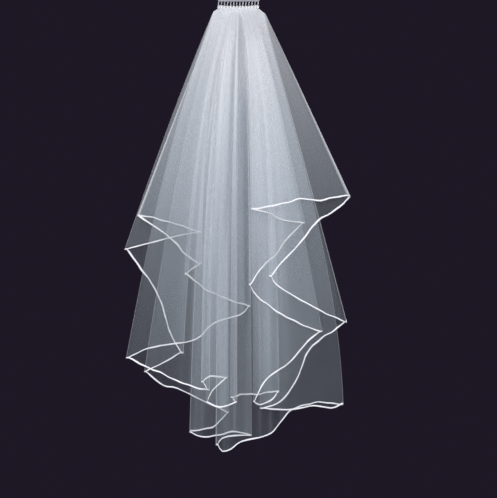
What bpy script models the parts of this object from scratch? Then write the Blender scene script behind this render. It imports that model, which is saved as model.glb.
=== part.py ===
"""A two-tier bridal veil on a comb, as it hangs from the comb.

One round piece of soft net is gathered along a chord onto a comb. The shorter tier falls in front
and the longer one behind, and a narrow satin ribbon edges both. The origin is at the comb, in the
middle of the gathered heading. +X is across, -Y is the front and +Z is up. Sizes are millimetres.
"""

import math
from typing import NamedTuple

import bmesh
import bpy

MM = 0.001

# Comb and heading
COMB_WIDTH = 75.0
COMB_THICKNESS = 2.4
COMB_TOP = 23.0
SPINE_HEIGHT = 6.0
TEETH = 14
TOOTH_WIDTH = 2.4
TOOTH_TIP = -13.0
TOOTH_TAPER = 0.8
TOOTH_POINT = 0.35
TOOTH_POINT_HEIGHT = 3.0
COMB_CORNER = 1.5
HEADING_WIDTH = 76.0
HEADING_DEPTH = 8.0
HEADING_TOP = 7.0
HEADING_BOTTOM = -14.0
HEADING_GATHERS = 24
HEADING_SWELL = 0.02
SEAM = 0.3

# The gathers just under the heading, where the folds are too close to part
GATHERS_BOTTOM = -50.0
GATHERS_WIDTH = 128.0
GATHERS_FRONT = 37.0
GATHERS_BACK = 27.0
GATHERS_FLUTES = 40
GATHERS_SWELL = 0.025
GATHERS_FLARE = 0.8
GATHERS_RINGS = (0.0, 0.3, 0.65, 1.0)
RING_SQUARENESS = 0.8

# Cloth
WALL = 1.1
RIBBON_WIDTH = 5.0
RIBBON_WALL = 1.6
MOST_SLANT = 3.0
PLEATS = 24
PLEAT_HEIGHT = 1.3
COLUMN_SPACING = 24.0
TURN_STEPS = 4
TURN_REACH = 4.5
TIER_TOP = -GATHERS_BOTTOM + SEAM

# Each fold is a ray from the comb. They leave it this much closer together than they hang below
RAY_MIDDLE = 1.5
RAY_NARROWING = 0.223
DEPTH_HEIGHT = 700.0

# How the rays bow outward, from 0 for straight: in the middle, and for the long folds at each side
MIDDLE_HALF = 60.0
SIDE_HALF = 140.0
BOW_MIDDLE = 0.9
BOW_LEFT = 0.25
LATE_SWING_RIGHT = 1.12

# How far down its own length each row of the cloth lies
ROWS = (0.0, 0.06, 0.14, 0.25, 0.40, 0.58, 0.78, 1.0)


class Point(NamedTuple):
    """A point of a hem: how far across and how far down, and its depth if it hung 700 mm down.

    Where the cloth turns back, it leaves at another depth than it came.
    """

    across: float
    drop: float
    depth: float
    turned: float | None = None


UPPER_HEM = (
    Point(-186, 377, 0),
    Point(-186, 377, -4),
    Point(-182, 380, -8),
    Point(-139, 409, -8),
    Point(-114, 430, -8),
    Point(-98, 450, -8),
    Point(-67, 467, -8, -18),
    Point(-100, 485, -19, -30),
    Point(-49, 520, -30),
    Point(22, 545, -29, -40),
    Point(4, 560, -40),
    Point(-38, 573, -40),
    Point(-56, 585, -40),
    Point(-68, 599, -40),
    Point(-92, 610, -41),
    Point(-157, 620, -41),
    Point(-206, 639, -41, -53),
    Point(-162, 658, -54),
    Point(-90, 690, -57),
    Point(-53, 697, -58, -69),
    Point(-68, 682, -69, -79),
    Point(-52, 672, -79),
    Point(-20, 675, -79, -91),
    Point(-47, 698, -94),
    Point(-58, 718, -100, -116),
    Point(-34, 727, -120),
    Point(-3, 718, -118, -108),
    Point(-14, 710, -106, -96),
    Point(4, 706, -78),
    Point(27, 706, -50),
    Point(74, 702, -30, -41),
    Point(60, 718, -47),
    Point(38, 725, -59),
    Point(26, 718, -62, -73),
    Point(36, 704, -75),
    Point(44, 688, -77),
    Point(56, 673, -77),
    Point(74, 661, -75),
    Point(94, 647, -69),
    Point(127, 609, -62),
    Point(153, 591, -57, -68),
    Point(101, 571, -79),
    Point(58, 545, -87),
    Point(32, 523, -92),
    Point(19, 506, -95, -106),
    Point(36, 482, -105),
    Point(54, 463, -103),
    Point(70, 449, -101),
    Point(82, 430, -98),
    Point(99, 411, -95),
    Point(121, 392, -91, -102),
    Point(79, 386, -107),
    Point(55, 374, -111),
    Point(23, 367, -115, -148),
    Point(71, 360, -148),
    Point(111, 349, -144),
    Point(144, 351, -140),
    Point(200, 342, -131),
    Point(203.5, 341, -127),
    Point(203.5, 341, -122),
)

LOWER_HEM = (
    Point(-186, 377, 0),
    Point(-186, 377, 4),
    Point(-182, 378, 8),
    Point(-138, 387, 12),
    Point(-67, 409, 14, 25),
    Point(-101, 413, 25),
    Point(-165, 429, 27),
    Point(-210, 440, 29, 43),
    Point(-178, 480, 43),
    Point(-161, 504, 43),
    Point(-146, 532, 43),
    Point(-135, 568, 44),
    Point(-124, 602, 45),
    Point(-103, 632, 46, 57),
    Point(-130, 646, 59),
    Point(-176, 668, 64, 76),
    Point(-141, 694, 80),
    Point(-117, 699, 84),
    Point(-86, 714, 90),
    Point(-49, 732, 96),
    Point(-17, 745, 98, 87),
    Point(-41, 768, 85),
    Point(-60, 775, 83),
    Point(-90, 781, 80, 68),
    Point(-68, 790, 66),
    Point(-41, 788, 65),
    Point(-12, 780, 63),
    Point(25, 786, 60, 48),
    Point(-10, 787, 46),
    Point(-31, 792, 45),
    Point(-41, 803, 43, 31),
    Point(-30, 815, 27),
    Point(-14, 810, 22),
    Point(4, 797, 20),
    Point(31, 790, 20),
    Point(61, 781, 20),
    Point(84, 752, 24),
    Point(103, 736, 28),
    Point(141, 725, 30),
    Point(195, 727, 30, 19),
    Point(172, 734, 18),
    Point(143, 730, 16),
    Point(91, 737, 13),
    Point(41, 734, 10, -1),
    Point(71, 725, -5),
    Point(91, 706, -10),
    Point(111, 673, -16),
    Point(127, 629, -26),
    Point(147, 609, -34),
    Point(175, 589, -44),
    Point(198, 573, -56, -104),
    Point(144, 549, -110),
    Point(75, 509, -118),
    Point(57, 489, -120, -131),
    Point(79, 464, -131),
    Point(103, 440, -130),
    Point(145, 389, -127),
    Point(179, 368, -120),
    Point(200, 348, -113),
    Point(203.5, 343, -117),
    Point(203.5, 341, -122),
)


class HemPoint(NamedTuple):
    """A point of the finished hem line, with its share of the way along it."""

    across: float
    drop: float
    depth: float
    share: float


def smoothstep(low, high, value):
    """0 below low, 1 above high and a soft rise between."""
    t = min(1.0, max(0.0, (value - low) / (high - low)))
    return t * t * (3.0 - 2.0 * t)


def spline_point(points, index, t):
    """A point of the Catmull-Rom curve through points, t of the way from one to the next."""
    last = len(points) - 1
    a, b, c, d = (points[min(last, max(0, index + step))] for step in (-1, 0, 1, 2))
    return tuple(
        0.5 * (2 * q + (r - p) * t + (2 * p - 5 * q + 4 * r - s) * t * t + (3 * q - p - 3 * r + s) * t**3)
        for p, q, r, s in zip(a, b, c, d)
    )


def smooth_stretch(points):
    """The cloth between two turns, with points about a column apart and both ends kept."""
    line = []
    for index in range(len(points) - 1):
        length = math.dist(points[index], points[index + 1])
        steps = max(1, round(length / COLUMN_SPACING))
        line += [spline_point(points, index, step / steps) for step in range(steps)]
    return line + [points[-1]]


def turn_back(row, way):
    """The half round of a fold, between its two depths. way is the direction the cloth came in."""
    middle = (row.depth + row.turned) / 2
    half = (row.turned - row.depth) / 2
    reach = min(abs(half), TURN_REACH)
    points = []
    for step in range(1, TURN_STEPS):
        angle = math.pi * (step / TURN_STEPS - 0.5)
        across = row.across + way * reach * (math.cos(angle) - 1)
        points.append((across, row.drop, middle + half * math.sin(angle)))
    return points


def turn_side(row, way, depth):
    """Where a stretch meets a fold: short of its tip by the reach of the turn."""
    reach = min(abs(row.turned - row.depth) / 2, TURN_REACH)
    return (row.across - way * reach, row.drop, depth)


def hem_line(rows):
    """The whole hem of a tier from its table of points."""
    line = []
    stretch = []
    for index, row in enumerate(rows):
        if row.turned is None:
            stretch.append((row.across, row.drop, row.depth))
            continue
        way = math.copysign(1.0, row.across - rows[index - 1].across)
        line += smooth_stretch(stretch + [turn_side(row, way, row.depth)])
        line += turn_back(row, way)
        stretch = [turn_side(row, way, row.turned)]
    line += smooth_stretch(stretch)
    lengths = [0.0]
    for before, after in zip(line, line[1:]):
        lengths.append(lengths[-1] + math.dist(before, after))
    return [HemPoint(*point, length / lengths[-1]) for point, length in zip(line, lengths)]


def spread(across, drop, t):
    """How far out along its ray the cloth is, t of the way down to its drop.

    The middle swells out at once and then hangs, the short folds at the sides fall straight, and
    the long ones on the right fall straight at first and swing out later.
    """
    side = smoothstep(MIDDLE_HALF, SIDE_HALF, abs(across))
    swung = late = 0.0
    if across > 0:
        late = LATE_SWING_RIGHT * side * smoothstep(560.0, 740.0, drop)
    else:
        swung = BOW_LEFT * smoothstep(330.0, 640.0, drop)
    bow = BOW_MIDDLE + (swung - BOW_MIDDLE) * side
    return (1 - bow) * t + bow * (1 - max(0.0, 1 - t) ** 3) + late * t * t * (1 - t)


def depth_share(height):
    """How much of its depth the cloth has at a height: it swells out quickly under the comb."""
    return math.sqrt(height / DEPTH_HEIGHT)


def section(hem, heights, side):
    """The points of a tier in plan, each at its own height. Side keeps the two tiers a seam apart."""
    points = []
    for point, height in zip(hem, heights):
        out = spread(point.across, point.drop, height / point.drop)
        start = RAY_MIDDLE + RAY_NARROWING * point.across
        depth = point.depth * depth_share(height) + side * SEAM / 2
        points.append((start + out * (point.across - start), depth))
    return points


def pleated(points, hem, heights):
    """The section with its gathers, as waves square to the cloth."""
    waved = []
    last = len(points) - 1
    for index, (point, hem_point, height) in enumerate(zip(points, hem, heights)):
        before = points[max(0, index - 1)]
        after = points[min(last, index + 1)]
        along = (after[0] - before[0], after[1] - before[1])
        length = math.hypot(*along) or 1.0
        held = smoothstep(0.0, 0.01, min(hem_point.share, 1 - hem_point.share))
        wave = held * PLEAT_HEIGHT * depth_share(height) * math.sin(2 * math.pi * PLEATS * hem_point.share)
        waved.append((point[0] - wave * along[1] / length, point[1] + wave * along[0] / length))
    return waved


def hung(hem, heights, side):
    """The points in space of one row of cloth, in millimetres."""
    plan = pleated(section(hem, heights, side), hem, heights)
    return [(across, depth, -height) for (across, depth), height in zip(plan, heights)]


def sheet(name, rows, thickness, material, collection):
    """An open sheet through rows of points, made solid evenly about its middle."""
    mesh = bpy.data.meshes.new(name)
    count = len(rows[0])
    points = [tuple(value * MM for value in point) for row in rows for point in row]
    faces = []
    for row in range(len(rows) - 1):
        for column in range(count - 1):
            corner = row * count + column
            faces.append((corner, corner + 1, corner + count + 1, corner + count))
    mesh.from_pydata(points, [], faces)
    mesh.materials.append(material)
    obj = bpy.data.objects.new(name, mesh)
    collection.objects.link(obj)
    solidify = obj.modifiers.new("wall", "SOLIDIFY")
    solidify.thickness = thickness * MM
    solidify.offset = 0.0
    mesh.shade_smooth()
    return obj


def slants(hem):
    """How many times its width the ribbon is high at each point, where the hem runs up or down."""
    found = []
    last = len(hem) - 1
    for index in range(len(hem)):
        before, after = hem[max(0, index - 1)], hem[min(last, index + 1)]
        level = math.hypot(after.across - before.across, after.depth - before.depth)
        length = math.hypot(level, after.drop - before.drop)
        found.append(min(MOST_SLANT, length / max(level, 1e-6)))
    return found


def tier(name, table, side, net, collection):
    """One tier of net, from under the gathers to just above its ribbon."""
    hem = hem_line(table)
    ends = [point.drop - (RIBBON_WIDTH / 2 + SEAM) * slant for point, slant in zip(hem, slants(hem))]
    rows = [hung(hem, [TIER_TOP + share * (end - TIER_TOP) for end in ends], side) for share in ROWS]
    return sheet(name, rows, WALL, net, collection)


def ribbon(name, table, side, satin, collection):
    """The narrow ribbon along a tier's hem, hanging on from the net."""
    hem = hem_line(table)
    rows = []
    for edge in (-1, 1):
        heights = [point.drop + edge * RIBBON_WIDTH / 2 * slant for point, slant in zip(hem, slants(hem))]
        rows.append(hung(hem, heights, side))
    return sheet(name, rows, RIBBON_WALL, satin, collection)


def comb_outline():
    """The comb's outline seen from the front: a bar above and tapered teeth below."""
    pitch = (COMB_WIDTH - TOOTH_WIDTH) / (TEETH - 1)
    bar_bottom = COMB_TOP - SPINE_HEIGHT
    half = COMB_WIDTH / 2
    inner, lower = half - COMB_CORNER, COMB_TOP - COMB_CORNER
    outline = [(half, lower), (inner, COMB_TOP), (-inner, COMB_TOP), (-half, lower)]
    root = TOOTH_WIDTH / 2
    shoulder = root * TOOTH_TAPER
    tip = root * TOOTH_POINT
    for tooth in range(TEETH):
        middle = -half + root + tooth * pitch
        outline += [
            (middle - root, bar_bottom),
            (middle - shoulder, TOOTH_TIP + TOOTH_POINT_HEIGHT),
            (middle - tip, TOOTH_TIP),
            (middle + tip, TOOTH_TIP),
            (middle + shoulder, TOOTH_TIP + TOOTH_POINT_HEIGHT),
            (middle + root, bar_bottom),
        ]
    return outline


def comb(plastic, collection):
    """The comb, standing behind the heading with its bar above it."""
    curve = bpy.data.curves.new("comb", "CURVE")
    curve.dimensions = "2D"
    curve.fill_mode = "BOTH"
    curve.extrude = COMB_THICKNESS / 2 * MM
    outline = comb_outline()
    spline = curve.splines.new("POLY")
    spline.points.add(len(outline) - 1)
    for spot, (across, height) in zip(spline.points, outline):
        spot.co = (across * MM, height * MM, 0.0, 1.0)
    spline.use_cyclic_u = True
    curve.materials.append(plastic)
    obj = bpy.data.objects.new("comb", curve)
    obj.rotation_euler = (math.pi / 2, 0.0, 0.0)
    obj.location = (0.0, (HEADING_DEPTH / 2 * (1 + HEADING_SWELL) + SEAM + COMB_THICKNESS / 2) * MM, 0.0)
    collection.objects.link(obj)
    return obj


def gathered_ring(height, width, front, back, flutes, flute):
    """A flattened ring at one height, with its gathers as small flutes all round."""
    steps = flutes * 3
    ring = []
    for index in range(steps):
        angle = 2 * math.pi * index / steps
        swell = 1 + flute * math.sin(flutes * angle)
        side = math.copysign(abs(math.cos(angle)) ** RING_SQUARENESS, math.cos(angle))
        face = math.copysign(abs(math.sin(angle)) ** RING_SQUARENESS, math.sin(angle))
        depth = back if face > 0 else front
        ring.append((side * width / 2 * swell, face * depth * swell, height))
    return ring


def gathered_block(name, profile, flutes, net, collection):
    """A closed loft through gathered rings, the lowest first."""
    shape = bmesh.new()
    rings = [gathered_ring(height, width, front, back, flutes, flute) for height, width, front, back, flute in profile]
    loops = [[shape.verts.new([value * MM for value in point]) for point in ring] for ring in rings]
    count = len(loops[0])
    for low, high in zip(loops, loops[1:]):
        for index in range(count):
            after = (index + 1) % count
            shape.faces.new((low[index], low[after], high[after], high[index]))
    shape.faces.new(list(reversed(loops[0])))
    shape.faces.new(loops[-1])
    bmesh.ops.recalc_face_normals(shape, faces=shape.faces)
    mesh = bpy.data.meshes.new(name)
    shape.to_mesh(mesh)
    shape.free()
    mesh.materials.append(net)
    obj = bpy.data.objects.new(name, mesh)
    collection.objects.link(obj)
    return obj


def heading(net, collection):
    """The gathered heading that is sewn to the comb."""
    half = HEADING_DEPTH / 2
    profile = (
        (HEADING_BOTTOM, HEADING_WIDTH, half, half, HEADING_SWELL),
        (HEADING_BOTTOM * 0.5, HEADING_WIDTH + 1, half, half, HEADING_SWELL),
        (HEADING_TOP * 0.6, HEADING_WIDTH, half, half, HEADING_SWELL),
        (HEADING_TOP, HEADING_WIDTH - 1.5, half - 1, half - 1, HEADING_SWELL),
    )
    return gathered_block("heading", profile, HEADING_GATHERS, net, collection)


def gathers(net, collection):
    """The close gathers under the heading, fanning out to meet the folds."""
    half = HEADING_DEPTH / 2
    profile = []
    for share in GATHERS_RINGS:
        height = GATHERS_BOTTOM + share * (HEADING_BOTTOM - SEAM - GATHERS_BOTTOM)
        open_share = (1 - share) ** GATHERS_FLARE
        width = HEADING_WIDTH + (GATHERS_WIDTH - HEADING_WIDTH) * open_share
        front = half + (GATHERS_FRONT - half) * open_share
        back = half + (GATHERS_BACK - half) * open_share
        profile.append((height, width, front, back, GATHERS_SWELL))
    return gathered_block("gathers", profile, GATHERS_FLUTES, net, collection)


def finish(name, colour, roughness, alpha=1.0):
    """A plain surface for one kind of piece."""
    material = bpy.data.materials.new(name)
    material.use_nodes = True
    shader = material.node_tree.nodes["Principled BSDF"]
    shader.inputs["Base Color"].default_value = (*colour, 1.0)
    shader.inputs["Roughness"].default_value = roughness
    shader.inputs["Metallic"].default_value = 0.0
    shader.inputs["Alpha"].default_value = alpha
    return material


def build():
    """Clears the scene and makes every piece of the veil."""
    for old in list(bpy.data.objects):
        bpy.data.objects.remove(old, do_unlink=True)
    collection = bpy.data.collections.new("bridal_veil")
    bpy.context.scene.collection.children.link(collection)
    net = finish("soft_net", (0.86, 0.88, 0.92), 0.8)
    satin = finish("satin_ribbon", (0.95, 0.95, 0.98), 0.35)
    plastic = finish("clear_comb", (0.75, 0.76, 0.78), 0.25)
    comb(plastic, collection)
    heading(net, collection)
    gathers(net, collection)
    tier("upper_tier", UPPER_HEM, -1, net, collection)
    tier("lower_tier", LOWER_HEM, 1, net, collection)
    ribbon("upper_ribbon", UPPER_HEM, -1, satin, collection)
    ribbon("lower_ribbon", LOWER_HEM, 1, satin, collection)


build()
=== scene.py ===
"""A two-tier bridal veil of soft white net on a comb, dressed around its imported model.

Sizes are in metres in the model's frame: the comb is at the origin, +X is across, -Y is the front
and +Z is up. The hem tables are in millimetres, as they are in the part's source.
"""

from __future__ import annotations

import logging
import math
from dataclasses import dataclass, field
from enum import Enum
from typing import NamedTuple, Sequence

import bmesh
import bpy
import numpy as np
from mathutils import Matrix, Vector

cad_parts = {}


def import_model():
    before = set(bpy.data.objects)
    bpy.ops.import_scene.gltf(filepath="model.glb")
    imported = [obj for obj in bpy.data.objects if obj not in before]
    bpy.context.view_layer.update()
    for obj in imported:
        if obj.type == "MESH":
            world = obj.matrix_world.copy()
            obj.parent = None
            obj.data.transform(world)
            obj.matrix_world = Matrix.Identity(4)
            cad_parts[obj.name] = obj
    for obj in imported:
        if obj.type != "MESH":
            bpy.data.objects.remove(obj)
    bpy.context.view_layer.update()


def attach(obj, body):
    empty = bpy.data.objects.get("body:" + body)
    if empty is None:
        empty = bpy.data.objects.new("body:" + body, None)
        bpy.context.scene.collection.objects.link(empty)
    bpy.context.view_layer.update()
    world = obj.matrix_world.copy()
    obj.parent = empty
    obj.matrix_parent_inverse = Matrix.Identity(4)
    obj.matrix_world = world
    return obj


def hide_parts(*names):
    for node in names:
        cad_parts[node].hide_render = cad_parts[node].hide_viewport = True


LOG = logging.getLogger("veil")
MM = 0.001
BODY = "root"
CLOTH = "cloth"
TINY = 1e-6

Colour = tuple[float, float, float]
Spot = tuple[float, float, float]
Span = tuple[float, float]
Socket = bpy.types.NodeSocket


class Point(NamedTuple):
    """A point of a hem: how far across and down, and its depth if it hung 700 mm down.

    Where the cloth turns back, it leaves at another depth than it came.
    """

    across: float
    drop: float
    depth: float
    turned: float | None = None


UPPER_HEM: tuple[Point, ...] = (
    Point(-186, 377, 0),
    Point(-186, 377, -4),
    Point(-182, 380, -8),
    Point(-139, 409, -8),
    Point(-114, 430, -8),
    Point(-98, 450, -8),
    Point(-67, 467, -8, -18),
    Point(-100, 485, -19, -30),
    Point(-49, 520, -30),
    Point(22, 545, -29, -40),
    Point(4, 560, -40),
    Point(-38, 573, -40),
    Point(-56, 585, -40),
    Point(-68, 599, -40),
    Point(-92, 610, -41),
    Point(-157, 620, -41),
    Point(-206, 639, -41, -53),
    Point(-162, 658, -54),
    Point(-90, 690, -57),
    Point(-53, 697, -58, -69),
    Point(-68, 682, -69, -79),
    Point(-52, 672, -79),
    Point(-20, 675, -79, -91),
    Point(-47, 698, -94),
    Point(-58, 718, -100, -116),
    Point(-34, 727, -120),
    Point(-3, 718, -118, -108),
    Point(-14, 710, -106, -96),
    Point(4, 706, -78),
    Point(27, 706, -50),
    Point(74, 702, -30, -41),
    Point(60, 718, -47),
    Point(38, 725, -59),
    Point(26, 718, -62, -73),
    Point(36, 704, -75),
    Point(44, 688, -77),
    Point(56, 673, -77),
    Point(74, 661, -75),
    Point(94, 647, -69),
    Point(127, 609, -62),
    Point(153, 591, -57, -68),
    Point(101, 571, -79),
    Point(58, 545, -87),
    Point(32, 523, -92),
    Point(19, 506, -95, -106),
    Point(36, 482, -105),
    Point(54, 463, -103),
    Point(70, 449, -101),
    Point(82, 430, -98),
    Point(99, 411, -95),
    Point(121, 392, -91, -102),
    Point(79, 386, -107),
    Point(55, 374, -111),
    Point(23, 367, -115, -148),
    Point(71, 360, -148),
    Point(111, 349, -144),
    Point(144, 351, -140),
    Point(200, 342, -131),
    Point(203.5, 341, -127),
    Point(203.5, 341, -122),
)

LOWER_HEM: tuple[Point, ...] = (
    Point(-186, 377, 0),
    Point(-186, 377, 4),
    Point(-182, 378, 8),
    Point(-138, 387, 12),
    Point(-67, 409, 14, 25),
    Point(-101, 413, 25),
    Point(-165, 429, 27),
    Point(-210, 440, 29, 43),
    Point(-178, 480, 43),
    Point(-161, 504, 43),
    Point(-146, 532, 43),
    Point(-135, 568, 44),
    Point(-124, 602, 45),
    Point(-103, 632, 46, 57),
    Point(-130, 646, 59),
    Point(-176, 668, 64, 76),
    Point(-141, 694, 80),
    Point(-117, 699, 84),
    Point(-86, 714, 90),
    Point(-49, 732, 96),
    Point(-17, 745, 98, 87),
    Point(-41, 768, 85),
    Point(-60, 775, 83),
    Point(-90, 781, 80, 68),
    Point(-68, 790, 66),
    Point(-41, 788, 65),
    Point(-12, 780, 63),
    Point(25, 786, 60, 48),
    Point(-10, 787, 46),
    Point(-31, 792, 45),
    Point(-41, 803, 43, 31),
    Point(-30, 815, 27),
    Point(-14, 810, 22),
    Point(4, 797, 20),
    Point(31, 790, 20),
    Point(61, 781, 20),
    Point(84, 752, 24),
    Point(103, 736, 28),
    Point(141, 725, 30),
    Point(195, 727, 30, 19),
    Point(172, 734, 18),
    Point(143, 730, 16),
    Point(91, 737, 13),
    Point(41, 734, 10, -1),
    Point(71, 725, -5),
    Point(91, 706, -10),
    Point(111, 673, -16),
    Point(127, 629, -26),
    Point(147, 609, -34),
    Point(175, 589, -44),
    Point(198, 573, -56, -104),
    Point(144, 549, -110),
    Point(75, 509, -118),
    Point(57, 489, -120, -131),
    Point(79, 464, -131),
    Point(103, 440, -130),
    Point(145, 389, -127),
    Point(179, 368, -120),
    Point(200, 348, -113),
    Point(203.5, 343, -117),
    Point(203.5, 341, -122),
)


class Side(Enum):
    """Which of the two tiers, and the way it lies from the seam between them."""

    FRONT = -1
    BACK = 1


class Slot(Enum):
    """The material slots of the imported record."""

    NET = "soft_net"
    SATIN = "satin_ribbon"
    COMB = "clear_comb"


def smoothstep(low: float, high: float, value: np.ndarray | float) -> np.ndarray:
    """A soft rise from 0 below low to 1 above high.

    Args:
        low: Where the rise begins.
        high: Where it ends.
        value: One number or many.

    Returns:
        The risen share, between 0 and 1.
    """
    t = np.clip((np.asarray(value, float) - low) / (high - low), 0.0, 1.0)
    return t * t * (3.0 - 2.0 * t)


@dataclass(frozen=True)
class Shader:
    """A small helper that adds nodes to one material."""

    material: bpy.types.Material

    @property
    def surface(self) -> bpy.types.Node:
        """The material's main shader node."""
        return self.material.node_tree.nodes["Principled BSDF"]

    def add(self, kind: str, **values: object) -> bpy.types.Node:
        """Adds a node.

        Args:
            kind: Blender's name for the node type.
            **values: Its properties, and its inputs as in_NAME.

        Returns:
            The new node.
        """
        node = self.material.node_tree.nodes.new(kind)
        for name, value in values.items():
            if name.startswith("in_"):
                node.inputs[name[3:].replace("_", " ")].default_value = value
            else:
                setattr(node, name, value)
        return node

    def dress(self, **values: object) -> None:
        """Sets plain inputs of the main shader, named with _ for each space."""
        for name, value in values.items():
            self.surface.inputs[name.replace("_", " ")].default_value = value

    def link(self, source: Socket, target: Socket) -> None:
        """Joins two sockets."""
        self.material.node_tree.links.new(source, target)

    def feed(self, name: str, source: Socket) -> None:
        """Joins a value to an input of the main shader."""
        self.link(source, self.surface.inputs[name])

    def combined(self, operation: str, first: Socket | float, second: Socket | float) -> Socket:
        """Joins two values by a Math node.

        Args:
            operation: The Math node's operation.
            first: A socket or a number.
            second: A socket or a number.

        Returns:
            The result's socket.
        """
        node = self.add("ShaderNodeMath", operation=operation)
        for index, value in enumerate((first, second)):
            if isinstance(value, (int, float)):
                node.inputs[index].default_value = value
            else:
                self.link(value, node.inputs[index])
        return node.outputs[0]

    def rescaled(self, value: Socket, low: float, high: float) -> Socket:
        """Maps a 0 to 1 value onto low to high."""
        node = self.add("ShaderNodeMapRange", in_To_Min=low, in_To_Max=high)
        self.link(value, node.inputs["Value"])
        return node.outputs["Result"]

    def attribute(self, name: str) -> Socket:
        """One of the mesh's own values."""
        return self.add("ShaderNodeAttribute", attribute_name=name).outputs["Fac"]

    def cloth(self) -> Socket:
        """The cloth's own coordinates, along it and down it."""
        return self.add("ShaderNodeUVMap", uv_map=CLOTH).outputs["UV"]

    def place(self) -> Socket:
        """The object's coordinates."""
        return self.add("ShaderNodeTexCoord").outputs["Object"]

    def texture(self, kind: str, output: str, source: Socket, **values: object) -> Socket:
        """A texture over some coordinates.

        Args:
            kind: Blender's name for the texture node.
            output: Its output that is wanted.
            source: The coordinates.
            **values: Its properties, and its inputs as in_NAME.

        Returns:
            The output's socket.
        """
        node = self.add(kind, **values)
        self.link(source, node.inputs["Vector"])
        return node.outputs[output]

    def noise(self, source: Socket, scale: Spot, detail: Span, shift: Spot = (0.0, 0.0, 0.0)) -> Socket:
        """Noise over stretched coordinates.

        Args:
            source: The coordinates.
            scale: How many times each is stretched.
            detail: The noise's detail and roughness.
            shift: How far the coordinates are moved.

        Returns:
            The noise's value.
        """
        mapping = self.texture("ShaderNodeMapping", "Vector", source, in_Scale=scale, in_Location=shift)
        fineness = {"in_Scale": 1.0, "in_Detail": detail[0], "in_Roughness": detail[1]}
        return self.texture("ShaderNodeTexNoise", "Fac", mapping, **fineness)

    def mixed(self, share: Socket, first: Colour, second: Colour) -> Socket:
        """Mixes two colours.

        Args:
            share: How much of the second colour there is.
            first: The colour where the share is 0.
            second: The colour where it is 1.

        Returns:
            The mixed colour.
        """
        node = self.add("ShaderNodeMix", data_type="RGBA", blend_type="MIX")
        sockets = {socket.identifier: socket for socket in node.inputs}
        self.link(share, sockets["Factor_Float"])
        sockets["A_Color"].default_value = (*first, 1.0)
        sockets["B_Color"].default_value = (*second, 1.0)
        return next(socket for socket in node.outputs if socket.identifier == "Result_Color")

    def bumped(self, heights: Socket, strength: float, distance: float) -> None:
        """Roughens the surface by a height value."""
        bump = self.add("ShaderNodeBump", in_Strength=strength, in_Distance=distance)
        self.link(heights, bump.inputs["Height"])
        self.feed("Normal", bump.outputs["Normal"])


def new_material(name: str) -> Shader:
    """An empty Principled material with a helper around it."""
    material = bpy.data.materials.new(name)
    material.use_nodes = True
    return Shader(material)


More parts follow.
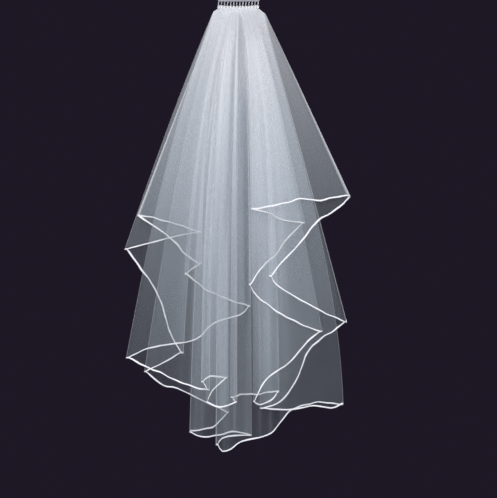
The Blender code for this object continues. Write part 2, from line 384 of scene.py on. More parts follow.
@dataclass(frozen=True)
class NetFinish:
    """Soft white net: sheer, with fine streaks down the cloth and a tiny mesh, and painted shade: a darker grey
    where it is less close.
    """

    name: str = "soft_white_net"
    sheer_painted_shade: Colour = (0.45, 0.545, 0.62)
    close: Colour = (0.77, 0.785, 0.825)
    close_cover: float = 0.24
    roughness: float = 0.85
    sheen: float = 0.35
    sheen_roughness: float = 0.4
    gloss: float = 0.2
    streaks: Spot = (60.0, 1.6, 1.0)
    streak_detail: Span = (3.0, 0.6)
    streak_swing: float = 0.45
    streak_least: float = 0.3
    creases: Spot = (24.0, 0.5, 1.0)
    crease_detail: Span = (1.0, 0.5)
    crease_shift: Spot = (3.7, 1.9, 0.0)
    crease_narrowing: float = 5.0
    crease_sharpness: float = 5.0
    crease_density: Span = (0.9, 1.9)
    mesh_per_metre: float = 700.0
    mesh_density: Span = (1.12, 0.85)

    def material(self) -> bpy.types.Material:
        """Builds the net. How close it is and how gathered come from the mesh's own attributes; the less close,
        the more painted shade its colour has.

        Returns:
            The material.
        """
        shader = new_material(self.name)
        shader.dress(
            Roughness=self.roughness,
            Sheen_Weight=self.sheen,
            Sheen_Roughness=self.sheen_roughness,
            Specular_IOR_Level=self.gloss,
        )
        cover = shader.attribute("cover")
        gathered = shader.attribute("gathered")
        cloth = shader.cloth()
        # Painted shade: the less close the net, the nearer its colour is to the darker blue-grey sheer colour.
        closeness = shader.combined("MULTIPLY", cover, 1.0 / self.close_cover)
        closeness = shader.combined("MINIMUM", closeness, 1.0)
        shader.feed("Base Color", shader.mixed(closeness, self.sheer_painted_shade, self.close))
        alpha = cover
        densities = (
            self.streaked(shader, cloth, gathered),
            self.creased(shader, cloth, gathered),
            self.meshed(shader, cloth),
        )
        for density in densities:
            alpha = shader.combined("MULTIPLY", alpha, density)
        clamped = shader.add("ShaderNodeClamp")
        shader.link(alpha, clamped.inputs["Value"])
        shader.feed("Alpha", clamped.outputs["Result"])
        return shader.material

    def streaked(self, shader: Shader, cloth: Socket, gathered: Socket) -> Socket:
        """Fine streaks down the cloth, where its threads lie closer or further apart.

        Args:
            shader: The net's shader.
            cloth: The cloth's own coordinates.
            gathered: How gathered the cloth is.

        Returns:
            How many times denser the net is at each point.
        """
        noise = shader.noise(cloth, self.streaks, self.streak_detail)
        swing = shader.rescaled(noise, -self.streak_swing, self.streak_swing)
        share = shader.rescaled(gathered, self.streak_least, 1.0)
        return shader.combined("ADD", shader.combined("MULTIPLY", swing, share), 1.0)

    def creased(self, shader: Shader, cloth: Socket, gathered: Socket) -> Socket:
        """Thin soft lines down the cloth, where it was pressed into gathers.

        Args:
            shader: The net's shader.
            cloth: The cloth's own coordinates.
            gathered: How gathered the cloth is.

        Returns:
            How many times denser the net is on the lines.
        """
        noise = shader.noise(cloth, self.creases, self.crease_detail, self.crease_shift)
        swing = shader.combined("ABSOLUTE", shader.combined("SUBTRACT", noise, 0.5), 0.0)
        narrowed = shader.combined("MULTIPLY", swing, self.crease_narrowing)
        ridge = shader.combined("MAXIMUM", shader.combined("SUBTRACT", 1.0, narrowed), 0.0)
        sharp = shader.combined("POWER", ridge, self.crease_sharpness)
        return shader.rescaled(shader.combined("MULTIPLY", sharp, gathered), *self.crease_density)

    def meshed(self, shader: Shader, cloth: Socket) -> Socket:
        """The tiny mesh of the net itself.

        Args:
            shader: The net's shader.
            cloth: The cloth's own coordinates.

        Returns:
            How many times denser the net is on its threads.
        """
        mesh = {"feature": "DISTANCE_TO_EDGE", "in_Scale": self.mesh_per_metre}
        distance = shader.texture("ShaderNodeTexVoronoi", "Distance", cloth, **mesh)
        return shader.rescaled(distance, *self.mesh_density)


@dataclass(frozen=True)
class GatheredFinish:
    """Many layers of net sewn close together: nearly opaque, with soft grey painted shade in its hollows."""

    name: str = "gathered_net"
    light: Colour = (0.60, 0.62, 0.66)
    hollow_painted_shade: Colour = (0.46, 0.48, 0.54)
    roughness: float = 0.8
    sheen: float = 0.3
    hollows: Spot = (420.0, 420.0, 60.0)
    hollow_detail: Span = (4.0, 0.6)
    light_share: Span = (0.35, 1.2)
    relief: Span = (0.5, 0.0006)

    def material(self) -> bpy.types.Material:
        """Builds the gathered net.

        Returns:
            The material.
        """
        shader = new_material(self.name)
        shader.dress(Roughness=self.roughness, Sheen_Weight=self.sheen)
        noise = shader.noise(shader.place(), self.hollows, self.hollow_detail)
        # Painted shade: the noise that bumps the hollows also greys the colour there.
        share = shader.rescaled(noise, *self.light_share)
        shader.feed("Base Color", shader.mixed(share, self.hollow_painted_shade, self.light))
        shader.bumped(noise, *self.relief)
        return shader.material


@dataclass(frozen=True)
class SatinFinish:
    """White satin ribbon: fine weave across, a soft gloss, and painted shade in patches along it."""

    name: str = "white_satin"
    colour: Colour = (0.86, 0.86, 0.90)
    shade: Colour = (0.68, 0.68, 0.74)
    roughness: float = 0.36
    sheen: float = 0.4
    sheen_roughness: float = 0.3
    weave_per_metre: float = 900.0
    weave_distortion: float = 0.6
    puckers: Spot = (60.0, 12.0, 1.0)
    pucker_detail: Span = (2.0, 0.5)
    pucker_shade_share: Span = (0.2, 1.4)
    relief: Span = (0.25, 0.0003)

    def material(self) -> bpy.types.Material:
        """Builds the satin. Its colour holds painted shade: how much light reaches it comes from the mesh's own
        attribute.

        Returns:
            The material.
        """
        shader = new_material(self.name)
        shader.dress(
            Roughness=self.roughness,
            Sheen_Weight=self.sheen,
            Sheen_Roughness=self.sheen_roughness,
        )
        cloth = shader.cloth()
        bands = {"bands_direction": "Y", "in_Scale": self.weave_per_metre, "in_Distortion": self.weave_distortion}
        weave = shader.texture("ShaderNodeTexWave", "Fac", cloth, **bands)
        puckers = shader.noise(cloth, self.puckers, self.pucker_detail)
        # Painted shade: the pucker noise also darkens the colour in patches towards the shade colour, where the
        # ribbon would turn from the light.
        share = shader.rescaled(puckers, *self.pucker_shade_share)
        # Painted shade: the colour is scaled down by the share of light that the mesh's attribute gives.
        painted_shading = shader.add("ShaderNodeVectorMath", operation="SCALE")
        shader.link(shader.mixed(share, self.shade, self.colour), painted_shading.inputs[0])
        shader.link(shader.attribute("painted_light_share"), painted_shading.inputs["Scale"])
        shader.feed("Base Color", painted_shading.outputs["Vector"])
        shader.bumped(shader.combined("ADD", weave, puckers), *self.relief)
        return shader.material


@dataclass(frozen=True)
class CombFinish:
    """Clear grey moulded plastic."""

    name: str = "clear_grey_plastic"
    colour: Colour = (0.38, 0.38, 0.43)
    roughness: Span = (0.15, 0.34)
    coat: float = 0.4
    coat_roughness: float = 0.1
    alpha: float = 0.8
    flow: Spot = (180.0, 180.0, 180.0)
    flow_detail: Span = (2.0, 0.5)
    relief: Span = (0.12, 0.0003)

    def material(self) -> bpy.types.Material:
        """Builds the plastic, a little uneven in its gloss.

        Returns:
            The material.
        """
        shader = new_material(self.name)
        shader.dress(
            Base_Color=(*self.colour, 1.0),
            Coat_Weight=self.coat,
            Coat_Roughness=self.coat_roughness,
            Alpha=self.alpha,
        )
        flow = shader.noise(shader.place(), self.flow, self.flow_detail)
        shader.feed("Roughness", shader.rescaled(flow, *self.roughness))
        shader.bumped(flow, *self.relief)
        return shader.material


@dataclass(frozen=True)
class ThreadFinish:
    """White cotton sewing thread."""

    name: str = "white_thread"
    colour: Colour = (0.97, 0.97, 0.98)
    roughness: Span = (0.5, 0.65)
    sheen: float = 0.3
    turns_per_metre: float = 1400.0
    relief: Span = (0.4, 0.0002)

    def material(self) -> bpy.types.Material:
        """Builds the thread, with its twist as a fine bump.

        Returns:
            The material.
        """
        shader = new_material(self.name)
        shader.dress(Base_Color=(*self.colour, 1.0), Sheen_Weight=self.sheen)
        bands = {"bands_direction": "DIAGONAL", "in_Scale": self.turns_per_metre}
        twist = shader.texture("ShaderNodeTexWave", "Fac", shader.place(), **bands)
        shader.feed("Roughness", shader.rescaled(twist, *self.roughness))
        shader.bumped(twist, *self.relief)
        return shader.material


def finish_piece(
    obj: bpy.types.Object, material: bpy.types.Material, nodes: Sequence[str]
) -> None:
    """Gives a piece its material, its body and the nodes that it stands for.

    Args:
        obj: The piece.
        material: Its finish.
        nodes: The nodes that it replaces, if any.
    """
    obj.data.materials.append(material)
    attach(obj, BODY)
    if nodes:
        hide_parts(*nodes)


def new_object(name: str, mesh: bpy.types.Mesh) -> bpy.types.Object:
    """Puts a mesh in the scene under a name."""
    obj = bpy.data.objects.new(name, mesh)
    bpy.context.scene.collection.objects.link(obj)
    return obj


@dataclass
class Fall:
    """How one tier falls: the hem's line, and the cloth at any height above it."""

    hem: tuple[Point, ...]
    side: Side
    column_spacing: float = 7.0
    turn_steps: int = 10
    turn_reach: float = 3.0
    fold_sharpness: int = 5
    edge_fold: float = 1.8
    wave_start: float = 1.7
    long_wave: Span = (0.9, 9.1)
    short_wave: Span = (0.7, 4.7)
    wave_swell: Span = (0.45, 71.0)
    ray_middle: float = 1.5
    ray_narrowing: float = 0.223
    depth_height: float = 700.0
    deepest: float = 148.0
    gathered_drop: float = 50.0
    gathered_rise: float = 0.24
    heading_depth: float = 3.4
    side_band: Span = (60.0, 140.0)
    bow_middle: float = 0.9
    bow_left: float = 0.25
    bow_left_drops: Span = (330.0, 640.0)
    swing_right: float = 0.25
    late_swing_right: float = 0.6
    swing_drops: Span = (560.0, 740.0)
    seam: float = 0.3
    pleats: int = 24
    pleat_height: float = 1.3
    fine_pleats: int = 97
    fine_height: float = 0.45
    fine_drift: float = 2.0
    drifts: int = 7
    pleatless_share: float = 0.01
    steepest: float = 3.0
    line: np.ndarray = field(init=False)
    fold: np.ndarray = field(init=False)
    share: np.ndarray = field(init=False)
    length: float = field(init=False)

    def __post_init__(self) -> None:
        """Works out the hem line, how near each point is to a fold, and its share of the length."""
        line: list[Spot] = []
        fold: list[float] = []
        stretch: list[Spot] = []
        rounds = [math.sin(math.pi * step / self.turn_steps) for step in range(1, self.turn_steps)]
        for index, row in enumerate(self.hem):
            if row.turned is None:
                stretch.append((row.across, row.drop, row.depth))
                continue
            way = math.copysign(1.0, row.across - self.hem[index - 1].across)
            points = self.smooth_stretch(stretch + [self.turn_side(row, way, row.depth)])
            line += points + self.turn_back(row, way)
            fold += [0.0] * len(points)
            fold += [height**self.fold_sharpness for height in rounds]
            stretch = [self.turn_side(row, way, row.turned)]
        points = self.smooth_stretch(stretch)
        line += points
        fold += [0.0] * len(points)
        self.line = np.array(line)
        self.fold = np.array(fold)
        self.fold[[0, 1, -2, -1]] = self.edge_fold
        self.line[:, 1] += self.wobble()
        along = self.along()
        self.length = float(along[-1])
        self.share = along / along[-1]

    def along(self) -> np.ndarray:
        """How far along the hem each of its points is, in millimetres."""
        steps = np.linalg.norm(np.diff(self.line, axis=0), axis=1)
        return np.concatenate([[0.0], np.cumsum(steps)])

    def wobble(self) -> np.ndarray:
        """How far the ribbon lifts and drops the hem in small soft waves, in millimetres."""
        along = self.along()
        start = self.wave_start * self.side.value
        waves = self.long_wave[0] * np.sin(along / self.long_wave[1] + start)
        waves += self.short_wave[0] * np.sin(along / self.short_wave[1] + 2 * start)
        share, reach = self.wave_swell
        return waves * (1.0 - share + share * np.sin(along / reach + start))

    def smooth_stretch(self, points: list[Spot]) -> list[Spot]:
        """The cloth between two turns.

        Args:
            points: The rows of the stretch, ends included.

        Returns:
            Points about a column apart, with both ends kept.
        """
        found = []
        spots = np.array(points)
        last = len(points) - 1
        for index in range(last):
            apart = float(np.linalg.norm(spots[index + 1] - spots[index]))
            steps = max(1, round(apart / self.column_spacing))
            p, q, r, s = (spots[min(last, max(0, index + step))] for step in (-1, 0, 1, 2))
            for step in range(steps):
                t = step / steps
                square = 2 * p - 5 * q + 4 * r - s
                cube = 3 * q - p - 3 * r + s
                curve = 2 * q + (r - p) * t + square * t**2 + cube * t**3
                found.append(tuple(curve / 2))
        return found + [points[-1]]

    def turn_back(self, row: Point, way: float) -> list[Spot]:
        """The half round of a fold, between its two depths.

        Args:
            row: The hem's row at the fold.
            way: The direction that the cloth came in.

        Returns:
            The points of the turn, without its ends.
        """
        middle = (row.depth + row.turned) / 2
        half = (row.turned - row.depth) / 2
        reach = min(abs(half), self.turn_reach)
        points = []
        for step in range(1, self.turn_steps):
            angle = math.pi * (step / self.turn_steps - 0.5)
            across = row.across + way * reach * (math.cos(angle) - 1)
            points.append((across, row.drop, middle + half * math.sin(angle)))
        return points

    def turn_side(self, row: Point, way: float, depth: float) -> Spot:
        """Where a stretch meets a fold, short of its tip by the reach of the turn."""
        reach = min(abs(row.turned - row.depth) / 2, self.turn_reach)
        return (row.across - way * reach, row.drop, depth)

    def depth_share(self, height: np.ndarray) -> np.ndarray:
        """How much of its depth the cloth has at each height below the comb."""
        below = np.maximum(height, 0.0)
        swelled = np.sqrt(below / self.depth_height)
        gathered = self.heading_depth / self.deepest + below / self.gathered_drop * self.gathered_rise
        return np.where(height < self.gathered_drop, np.minimum(swelled, gathered), swelled)

    def slants(self) -> np.ndarray:
        """How many times its width the ribbon is high at each point of the hem."""
        run = np.empty_like(self.line)
        run[1:-1] = self.line[2:] - self.line[:-2]
        run[0] = self.line[1] - self.line[0]
        run[-1] = self.line[-1] - self.line[-2]
        level = np.maximum(np.hypot(run[:, 0], run[:, 2]), TINY)
        return np.minimum(self.steepest, np.linalg.norm(run, axis=1) / level)

    def hung(self, heights: np.ndarray) -> np.ndarray:
        """One row of the cloth.

        Args:
            heights: How far below the comb each point of the row is, in millimetres.

        Returns:
            The row's points, in metres.
        """
        across = self.line[:, 0]
        t = heights / self.line[:, 1]
        drop = self.line[:, 1]
        beside = smoothstep(*self.side_band, np.abs(across))
        left = self.bow_left * smoothstep(*self.bow_left_drops, drop)
        bow = self.bow_middle + (np.where(across > 0, 0.0, left) - self.bow_middle) * beside
        late = np.where(across > 0, beside * smoothstep(*self.swing_drops, drop), 0.0)
        swing = (self.swing_right + self.late_swing_right * t) * t * (1 - t)
        out = (1 - bow) * t + bow * (1 - np.maximum(0.0, 1 - t) ** 3) + late * swing
        start = self.ray_middle + self.ray_narrowing * across
        x = start + out * (across - start)
        y = self.line[:, 2] * self.depth_share(heights) + self.side.value * self.seam / 2
        run_x = np.gradient(x)
        run_y = np.gradient(y)
        length = np.maximum(np.hypot(run_x, run_y), TINY)
        held = smoothstep(0.0, self.pleatless_share, np.minimum(self.share, 1 - self.share))
        phase = 2 * math.pi * self.share
        drift = self.fine_drift * np.sin(self.drifts * phase)
        wave = self.pleat_height * np.sin(self.pleats * phase)
        wave += self.fine_height * np.sin(self.fine_pleats * phase + drift)
        wave *= held * self.depth_share(heights)
        pleated = (x - wave * run_y / length, y + wave * run_x / length, -heights)
        return np.column_stack(pleated) * MM


class Parting(NamedTuple):
    """A narrow parting between gathers: where it runs, in millimetres, and how much it thins the net."""

    high_across: float
    low_across: float
    high: float
    low: float
    width: float
    share: float

    def thinned(self, height: np.ndarray, across: np.ndarray) -> np.ndarray:
        """What is left of the cover at each point, as a share."""
        t = np.clip((height - self.high) / (self.low - self.high), 0.0, 1.0)
        middle = self.high_across + (self.low_across - self.high_across) * t
        ends = smoothstep(self.high - 60.0, self.high + 60.0, height)
        ends = ends * (1.0 - smoothstep(self.low - 60.0, self.low + 60.0, height))
        near = np.exp(-(((across - middle) / self.width) ** 2))
        return 1.0 - self.share * ends * near


PARTINGS: tuple[Parting, ...] = (
    Parting(-9, -23, 60, 420, 3.2, 0.42),
    Parting(11, 17, 150, 560, 4.5, 0.45),
    Parting(-36, -48, 110, 360, 2.4, 0.25),
    Parting(-3, -4, 200, 480, 2.2, 0.25),
)


def grid_mesh(name: str, rows: np.ndarray, along: np.ndarray, down: np.ndarray) -> bpy.types.Mesh:
    """An open sheet through rows of points, with its cloth's own coordinates.

    Args:
        name: The mesh's name.
        rows: Points, by row and column.
        along: Each column's place along the cloth, in metres.
        down: Each row's place down the cloth, in metres.

    Returns:
        The mesh.
    """
    count_rows, count = rows.shape[:2]
    mesh = bpy.data.meshes.new(name)
    corner = (np.arange(count_rows - 1)[:, None] * count + np.arange(count - 1)).ravel()
    faces = np.column_stack([corner, corner + 1, corner + count + 1, corner + count])
    mesh.from_pydata(rows.reshape(-1, 3).tolist(), [], faces.tolist())
    layer = mesh.uv_layers.new(name="cloth")
    loops = np.empty(len(mesh.loops), int)
    mesh.loops.foreach_get("vertex_index", loops)
    places = np.column_stack([along[loops % count], down[loops // count]])
    layer.data.foreach_set("uv", places.ravel())
    mesh.shade_smooth()
    return mesh


@dataclass
class Tier:
    """One tier of net, from the heading down to its ribbon."""

    name: str
    fall: Fall
    nodes: tuple[str, ...]
    rows: int = 52
    top: float = -4.0
    comb_half: float = 38.0
    left_shoulder: float = 0.8
    right_shoulder: float = 1.15
    sheet_cover: float = 0.048
    gathered_cover: float = 0.25
    gathered_height: float = 300.0
    gathered_fade: float = 1.25
    side_thinning: float = 0.24
    side_half: tuple[float, float] = (60.0, 170.0)
    gathered_half: tuple[float, float] = (65.0, 125.0)
    gathered_heights: tuple[float, float] = (-90.0, 240.0)
    top_cover: float = 0.28
    top_height: float = 16.0
    fold_cover: float = 0.34
    fold_heights: tuple[float, float] = (-60.0, 260.0)
    flat: tuple[float, float] = (1.5, 0.7)
    area: float = 0.81

    def build(self, net: bpy.types.Material, ribbon: bpy.types.Object) -> bpy.types.Object:
        """Makes the sheet and dresses it.

        Args:
            net: The net's material.
            ribbon: The ribbon that is sewn along it; not used.

        Returns:
            The tier.
        """
        fall = self.fall
        ends = fall.line[:, 1] + 0.5
        levels = np.linspace(0.0, 1.0, self.rows) ** 1.35
        start = fall.ray_middle + fall.ray_narrowing * fall.line[:, 0]
        slope = np.where(start < 0, self.left_shoulder, self.right_shoulder)
        tops = self.top + slope * np.maximum(0.0, np.abs(start) - self.comb_half)
        heights = [tops + level * (ends - tops) for level in levels]
        rows = np.array([fall.hung(height) for height in heights])
        mesh = grid_mesh(self.name, rows, fall.share * fall.length * MM, levels * self.flat[1])
        cover = np.array([self.cover(height, row[:, 0] / MM) for height, row in zip(heights, rows)])
        beside = smoothstep(*self.gathered_half, np.abs(fall.line[:, 0]))
        gathered = np.array([(1.0 - beside) * smoothstep(*self.gathered_heights, height) for height in heights])
        for attribute_name, values in (("cover", cover), ("gathered", gathered)):
            attribute = mesh.attributes.new(attribute_name, "FLOAT", "POINT")
            attribute.data.foreach_set("value", values.ravel())
        obj = new_object(self.name, mesh)
        finish_piece(obj, net, self.nodes)
        LOG.info("%s: %d faces", self.name, len(mesh.polygons))
        return obj

    def cover(self, height: np.ndarray, across: np.ndarray) -> np.ndarray:
        """How much of what is behind it the net hides at each point of a row.

        The net is closest under the comb, opens out towards the hem, and is doubled along each fold.
        A few narrow partings between the gathers let more of the dark through.

        Args:
            height: How far below the comb the points are, in millimetres.
            across: How far across they are.

        Returns:
            A share from 0 to 1 for each point.
        """
        lower = (np.maximum(height, 0.0) / self.gathered_height) ** self.gathered_fade
        cover = self.sheet_cover + self.gathered_cover * np.exp(-lower)
        cover *= 1.0 - self.side_thinning * smoothstep(*self.side_half, np.abs(self.fall.line[:, 0]))
        cover += self.top_cover * np.exp(-height / self.top_height)
        for parting in PARTINGS:
            cover *= parting.thinned(height, across)
        lined = self.fold_cover * smoothstep(*self.fold_heights, height)
        return np.clip(cover + self.fall.fold * lined, 0.0, 1.0)


@dataclass
class RibbonEdge:
    """The narrow satin ribbon along a tier's hem."""

    name: str
    fall: Fall
    node: str
    width: float = 2.5
    thickness: float = 0.4
    taper: float = 12.0
    steep_width: float = 0.75
    behind: float = 3.0
    painted_shade_per_layer: float = 0.4
    least_painted_light: float = 0.48
    steps: int = 4

    def layers_in_front(self, cloth: Sequence[Fall]) -> np.ndarray:
        """How many layers of net hang in front of each point of the hem, softened along it.

        Args:
            cloth: The falls of both tiers.

        Returns:
            The layers' number for each point.
        """
        spots = self.fall.hung(self.fall.line[:, 1])
        counts = np.zeros(len(spots))
        for index, (x, y, z) in enumerate(spots):
            for tier in cloth:
                row = tier.hung(np.full(len(tier.line), -z / MM))
                reached = tier.line[:, 1] > -z / MM + 1.0
                ahead = reached & (row[:, 1] < y - self.behind * MM)
                passed = (row[:-1, 0] - x) * (row[1:, 0] - x) < 0
                counts[index] += np.count_nonzero(passed & ahead[:-1] & ahead[1:])
        return np.convolve(np.pad(counts, 3, mode="edge"), np.full(7, 1 / 7), mode="valid")

    def build(self, satin: bpy.types.Material, cloth: Sequence[Fall]) -> bpy.types.Object:
        """Makes the ribbon and dresses it.

        Args:
            satin: The ribbon's material.
            cloth: The falls of both tiers, whose layers set its painted shade.

        Returns:
            The ribbon.
        """
        fall = self.fall
        place = fall.share * fall.length
        puckers = 1.0 + 0.14 * np.sin(place / 6.7) + 0.12 * np.sin(place / 17.0 + 1.0)
        away = np.abs(place[:, None] - place[fall.fold > 0][None, :]).min(axis=1)
        steep = fall.slants() ** self.steep_width
        spans = self.width * puckers * (1.0 + (steep - 1.0) * smoothstep(0.0, self.taper, away))
        rows = []
        shares = np.linspace(-0.5, 0.5, self.steps + 1)
        for share in shares:
            rows.append(fall.hung(fall.line[:, 1] + share * spans))
        mesh = grid_mesh(self.name, np.array(rows), fall.share * fall.length * MM, shares * self.width * MM)
        # Painted shade: the ribbon is darker the more layers of net hang in front of it, as if they kept the
        # light off.
        attribute = mesh.attributes.new("painted_light_share", "FLOAT", "POINT")
        painted_light_share = self.least_painted_light + (1.0 - self.least_painted_light) * np.exp(-self.painted_shade_per_layer * self.layers_in_front(cloth))
        attribute.data.foreach_set("value", np.tile(painted_light_share, self.steps + 1))
        obj = new_object(self.name, mesh)
        wall = obj.modifiers.new("wall", "SOLIDIFY")
        wall.thickness = self.thickness * MM
        wall.offset = 0.0
        finish_piece(obj, satin, (self.node,))
        LOG.info("%s: %d faces", self.name, len(mesh.polygons))
        return obj


@dataclass
class Heading:
    """The tight ruched band of net that is sewn onto the comb."""

    width: float = 76.0
    depth: float = 8.0
    top: float = 7.0
    bottom: float = -14.0
    end_lift: float = 3.0
    flutes: int = 58
    rings: int = 18
    columns_per_flute: int = 8

    def build(self, gathered: bpy.types.Material) -> bpy.types.Object:
        """Makes the band and dresses it.

        Args:
            gathered: The gathered net's material.

        Returns:
            The band.
        """
        count = self.flutes * self.columns_per_flute
        turn = 2 * math.pi * np.arange(count) / count
        shape = bmesh.new()
        loops = []
        for ring in range(self.rings + 1):
            share = ring / self.rings
            loops.append([shape.verts.new(point) for point in self.ring(turn, share)])
        for low, high in zip(loops, loops[1:]):
            for index in range(count):
                after = (index + 1) % count
                shape.faces.new((low[index], low[after], high[after], high[index]))
        shape.faces.new(list(reversed(loops[0])))
        shape.faces.new(loops[-1])
        bmesh.ops.recalc_face_normals(shape, faces=shape.faces)
        mesh = bpy.data.meshes.new("ruched_heading")
        shape.to_mesh(mesh)
        shape.free()
        mesh.shade_smooth()
        obj = new_object("ruched_heading", mesh)
        finish_piece(obj, gathered, ("heading",))
        LOG.info("ruched_heading: %d faces", len(mesh.polygons))
        return obj

    def ring(self, turn: np.ndarray, share: float) -> list[tuple[float, float, float]]:
        """One ring of the band, in metres.

        Args:
            turn: The angle of each point round the band.
            share: How far up the band the ring is.

        Returns:
            The ring's points.
        """
        pinched_top = 0.55 * float(smoothstep(0.82, 1.0, share))
        pinched_foot = 0.25 * (1.0 - float(smoothstep(0.0, 0.15, share)))
        swell = 1.0 - pinched_top - pinched_foot
        phase = self.flutes * turn + 1.3 * np.sin(5 * turn) + 2.2 * share * np.sin(3 * turn + 1.0)
        flute = 1 + 0.10 * np.sin(phase) + 0.05 * np.sin(phase * 2.3 + 4.0 * share)
        side = np.sign(np.cos(turn)) * np.abs(np.cos(turn)) ** 0.7
        face = np.sign(np.sin(turn)) * np.abs(np.sin(turn)) ** 0.45
        x = side * (self.width / 2 - 1.0)
        y = face * self.depth / 2 * swell * flute
        scallop = 0.7 * np.abs(np.sin(turn * 14)) * float(smoothstep(0.8, 1.0, share))
        lifted = self.end_lift * (x / self.width * 2) ** 2 * share
        z = self.bottom + (self.top - self.bottom) * share + scallop + lifted
        return [(a * MM, b * MM, c * MM) for a, b, c in zip(x, y, z)]


@dataclass
class Comb:
    """The comb: a rounded bar and tapered teeth, standing behind the heading."""

    width: float = 75.0
    thickness: float = 2.4
    top: float = 23.0
    bar: float = 6.0
    teeth: int = 14
    tooth_width: float = 2.0
    tip: float = -13.0
    behind: float = 5.58
    lean: float = 5.0
    upright: float = 0.15

    def middles(self) -> list[float]:
        """How far across each tooth is, in millimetres."""
        pitch = (self.width - self.tooth_width) / (self.teeth - 1)
        return [-self.width / 2 + self.tooth_width / 2 + tooth * pitch for tooth in range(self.teeth)]

    def build(self, plastic: bpy.types.Material) -> bpy.types.Object:
        """Makes the comb and dresses it.

        Args:
            plastic: The comb's material.

        Returns:
            The comb.
        """
        shape = bmesh.new()
        self.rod(shape, self.bar_sections())
        for middle in self.middles():
            self.rod(shape, self.tooth_sections(middle))
        bmesh.ops.recalc_face_normals(shape, faces=shape.faces)
        mesh = bpy.data.meshes.new("veil_comb")
        shape.to_mesh(mesh)
        shape.free()
        mesh.shade_smooth()
        obj = new_object("veil_comb", mesh)
        finish_piece(obj, plastic, ("comb",))
        LOG.info("veil_comb: %d teeth", self.teeth)
        return obj

    def bar_sections(self) -> list[list[tuple[float, float, float]]]:
        """Rounded sections along the bar, from one end to the other."""
        sections = []
        half = self.width / 2
        ends = ((0.0, 0.35), (0.006, 0.75), (0.02, 1.0))
        rounded = tuple((1.0 - share, size) for share, size in reversed(ends))
        for share, size in (*ends, (0.5, 1.0), *rounded):
            x = -half + share * self.width
            ring = []
            for step in range(12):
                angle = 2 * math.pi * step / 12
                y = self.behind + math.cos(angle) * self.thickness / 2 * size
                ring.append((x, y, self.top - self.bar / 2 + math.sin(angle) * self.bar / 2 * size))
            sections.append(ring)
        return sections

    def tooth_sections(self, middle: float) -> list[list[tuple[float, float, float]]]:
        """Rounded sections down one tooth, from inside the bar to the tip.

        Args:
            middle: How far across the tooth is.

        Returns:
            The sections' points, in millimetres.
        """
        sections = []
        start = self.top - self.bar / 2
        for share, size in ((0.0, 1.0), (0.2, 0.95), (0.6, 0.85), (0.85, 0.7), (0.96, 0.45), (1.0, 0.2)):
            z = start + share * (self.tip - start)
            ring = []
            for step in range(8):
                angle = 2 * math.pi * step / 8
                x = middle + self.lean * (self.upright - share) + math.cos(angle) * self.tooth_width / 2 * size
                ring.append((x, self.behind + math.sin(angle) * self.thickness / 2 * size * 0.9, z))
            sections.append(ring)
        return sections

    @staticmethod
    def rod(shape: bmesh.types.BMesh, sections: list[list[tuple[float, float, float]]]) -> None:
        """Adds a closed loft through sections given in millimetres.

        Args:
            shape: The mesh in the making.
            sections: Rings of points, each with as many.
        """
        loops = [[shape.verts.new(Vector(point) * MM) for point in ring] for ring in sections]
        count = len(loops[0])
        for low, high in zip(loops, loops[1:]):
            for index in range(count):
                after = (index + 1) % count
                shape.faces.new((low[index], low[after], high[after], high[index]))
        shape.faces.new(list(reversed(loops[0])))
        shape.faces.new(loops[-1])


@dataclass
class Stitches:
    """The thread that holds the heading to the comb: a lump of turns at the foot of each tooth."""

    comb: Comb
    thread: float = 0.45
    turns: int = 3
    reach_front: float = -4.4
    reach_back: float = 7.0

    def build(self, cotton: bpy.types.Material) -> bpy.types.Object:
        """Makes the thread and dresses it.

        Args:
            cotton: The thread's material.

        Returns:
            The stitches, as one mesh.
        """
        shape = bmesh.new()
        for index, middle in enumerate(self.comb.middles()):
            for turn in range(self.turns):
                self.loop(shape, middle + 0.9 * (turn - 1) + 0.25 * math.sin(index * 2.1 + turn), index, turn)
        for x, z in ((39.0, 1.8), (42.2, -4.4), (43.4, -7.9)):
            self.knot(shape, x, z)
        bmesh.ops.recalc_face_normals(shape, faces=shape.faces)
        mesh = bpy.data.meshes.new("comb_stitches")
        shape.to_mesh(mesh)
        shape.free()
        mesh.shade_smooth()
        obj = new_object("comb_stitches", mesh)
        finish_piece(obj, cotton, ())
        LOG.info("comb_stitches: %d faces", len(mesh.polygons))
        return obj

    def loop(self, shape: bmesh.types.BMesh, x: float, index: int, turn: int) -> None:
        """Adds one turn of thread over the heading's top edge and round its tooth.

        Args:
            shape: The mesh in the making.
            x: How far across it is, in millimetres.
            index: The tooth's number, which varies the turn a little.
            turn: The turn's number at its tooth.
        """
        top = 8.6 + 0.5 * math.sin(index * 1.7 + turn)
        foot = 2.6 + 0.8 * math.cos(index * 2.3 + turn * 1.1)
        middle_y = (self.reach_front + self.reach_back) / 2
        half_y = (self.reach_back - self.reach_front) / 2
        middle_z = (top + foot) / 2
        half_z = (top - foot) / 2
        sections = []
        steps = 20
        for step in range(steps):
            angle = 2 * math.pi * step / steps
            y = middle_y + half_y * math.cos(angle)
            z = middle_z + half_z * math.sin(angle)
            centre = Vector((x + 0.5 * math.sin(angle), y, z))
            outward = Vector((0.0, math.cos(angle) / half_y, math.sin(angle) / half_z)).normalized()
            ring = []
            for corner in range(6):
                way = 2 * math.pi * corner / 6
                ring.append(centre + (outward * math.cos(way) + Vector((1, 0, 0)) * math.sin(way)) * self.thread)
            sections.append([shape.verts.new(point * MM) for point in ring])
        for low, high in zip(sections, sections[1:] + sections[:1]):
            for corner in range(6):
                after = (corner + 1) % 6
                shape.faces.new((low[corner], low[after], high[after], high[corner]))

    @staticmethod
    def knot(shape: bmesh.types.BMesh, x: float, z: float) -> None:
        """Adds a small knot of thread on the heading's shoulder.

        Args:
            shape: The mesh in the making.
            x: How far across it is, in millimetres.
            z: How high it is.
        """
        made = bmesh.ops.create_icosphere(shape, subdivisions=2, radius=0.9 * MM)
        for vertex in made["verts"]:
            vertex.co = Vector((vertex.co.x + x * MM, vertex.co.y * 0.7 - 0.4 * MM, vertex.co.z * 0.8 + z * MM))


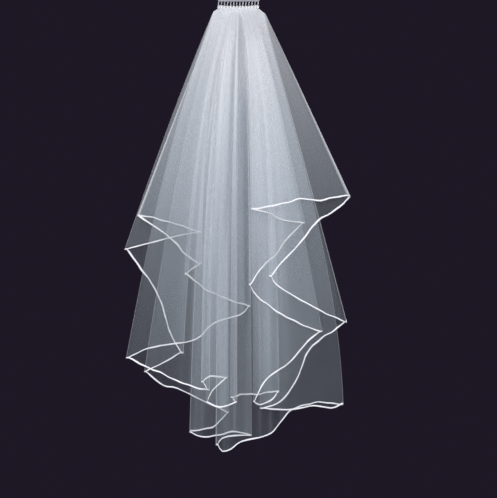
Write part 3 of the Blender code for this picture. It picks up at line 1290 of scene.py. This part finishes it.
@dataclass
class Studio:
    """The floor, lights, camera and plain dark air behind the veil."""

    distance: float = 7.0
    middle_x: float = 0.0187
    middle_z: float = -0.440
    frame_width: float = 0.919
    floor_z: float = -1.5
    floor_radius: float = 1.2
    air: tuple[float, float, float] = (0.0130, 0.0092, 0.0190)

    def build(self) -> None:
        """Makes everything around the veil."""
        self.camera()
        self.floor()
        self.lights()
        self.world()

    def camera(self) -> None:
        """A level camera straight in front, as the photograph was taken."""
        data = bpy.data.cameras.new("camera")
        data.sensor_width = 36.0
        data.lens = data.sensor_width * self.distance / self.frame_width
        data.clip_end = 100.0
        camera = bpy.data.objects.new("camera", data)
        camera.location = (self.middle_x, -self.distance, self.middle_z)
        camera.rotation_euler = (math.pi / 2, 0.0, 0.0)
        bpy.context.scene.collection.objects.link(camera)
        bpy.context.scene.camera = camera

    def floor(self) -> None:
        """A plain pale floor disc, well below the veil."""
        shape = bmesh.new()
        bmesh.ops.create_circle(shape, cap_ends=True, segments=96, radius=self.floor_radius)
        mesh = bpy.data.meshes.new("floor")
        shape.to_mesh(mesh)
        shape.free()
        floor = new_object("floor", mesh)
        floor.location = (0.0, 0.0, self.floor_z)
        pale = new_material("pale_floor")
        pale.surface.inputs["Base Color"].default_value = (0.6, 0.6, 0.62, 1.0)
        pale.surface.inputs["Roughness"].default_value = 0.9
        mesh.materials.append(pale.material)

    def lights(self) -> None:
        """Soft lights: a broad one in front and above, a fill at each side, and a low one behind."""
        rows = (
            ("key", (-1.2, -3.2, 1.3), 2.4, 120.0, (1.0, 1.0, 1.0)),
            ("fill", (1.9, -2.8, -0.2), 2.2, 55.0, (0.97, 0.98, 1.0)),
            ("low_fill", (-1.6, -2.6, -1.1), 1.8, 24.0, (0.97, 0.98, 1.0)),
            ("back", (0.6, 3.0, 0.9), 2.2, 120.0, (0.95, 0.97, 1.0)),
        )
        aim = Vector((0.0, 0.0, self.middle_z))
        for name, place, size, power, colour in rows:
            data = bpy.data.lights.new(name, "AREA")
            data.size = size
            data.energy = power
            data.color = colour
            light = bpy.data.objects.new(name, data)
            light.location = place
            light.rotation_euler = (aim - Vector(place)).to_track_quat("-Z", "Y").to_euler()
            bpy.context.scene.collection.objects.link(light)

    def world(self) -> None:
        """Plain dark violet air."""
        world = bpy.data.worlds.new("dark_air")
        world.use_nodes = True
        world.node_tree.nodes["Background"].inputs["Color"].default_value = (*self.air, 1.0)
        bpy.context.scene.world = world
        bpy.context.scene.view_settings.view_transform = "Standard"
        # The net lies in many sheer layers, and each ray has to pass them all.
        bpy.context.scene.cycles.transparent_max_bounces = 64


def main() -> None:
    """Builds the veil, piece by piece, and its studio."""
    logging.basicConfig(level=logging.INFO, format="%(name)s: %(message)s")
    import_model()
    net = NetFinish().material()
    satin = SatinFinish().material()
    upper = Fall(UPPER_HEM, Side.FRONT)
    lower = Fall(LOWER_HEM, Side.BACK)
    cloth = (upper, lower)
    upper_edge = RibbonEdge("satin_edge_upper", upper, "upper_ribbon").build(satin, cloth)
    lower_edge = RibbonEdge("satin_edge_lower", lower, "lower_ribbon").build(satin, cloth)
    Tier("net_tier_upper", upper, ("upper_tier", "gathers")).build(net, upper_edge)
    Tier("net_tier_lower", lower, ("lower_tier",), flat=(1.5, 0.8), area=0.96).build(net, lower_edge)
    Heading().build(GatheredFinish().material())
    comb = Comb()
    comb.build(CombFinish().material())
    Stitches(comb).build(ThreadFinish().material())
    Studio().build()


if __name__ == "__main__":
    main()
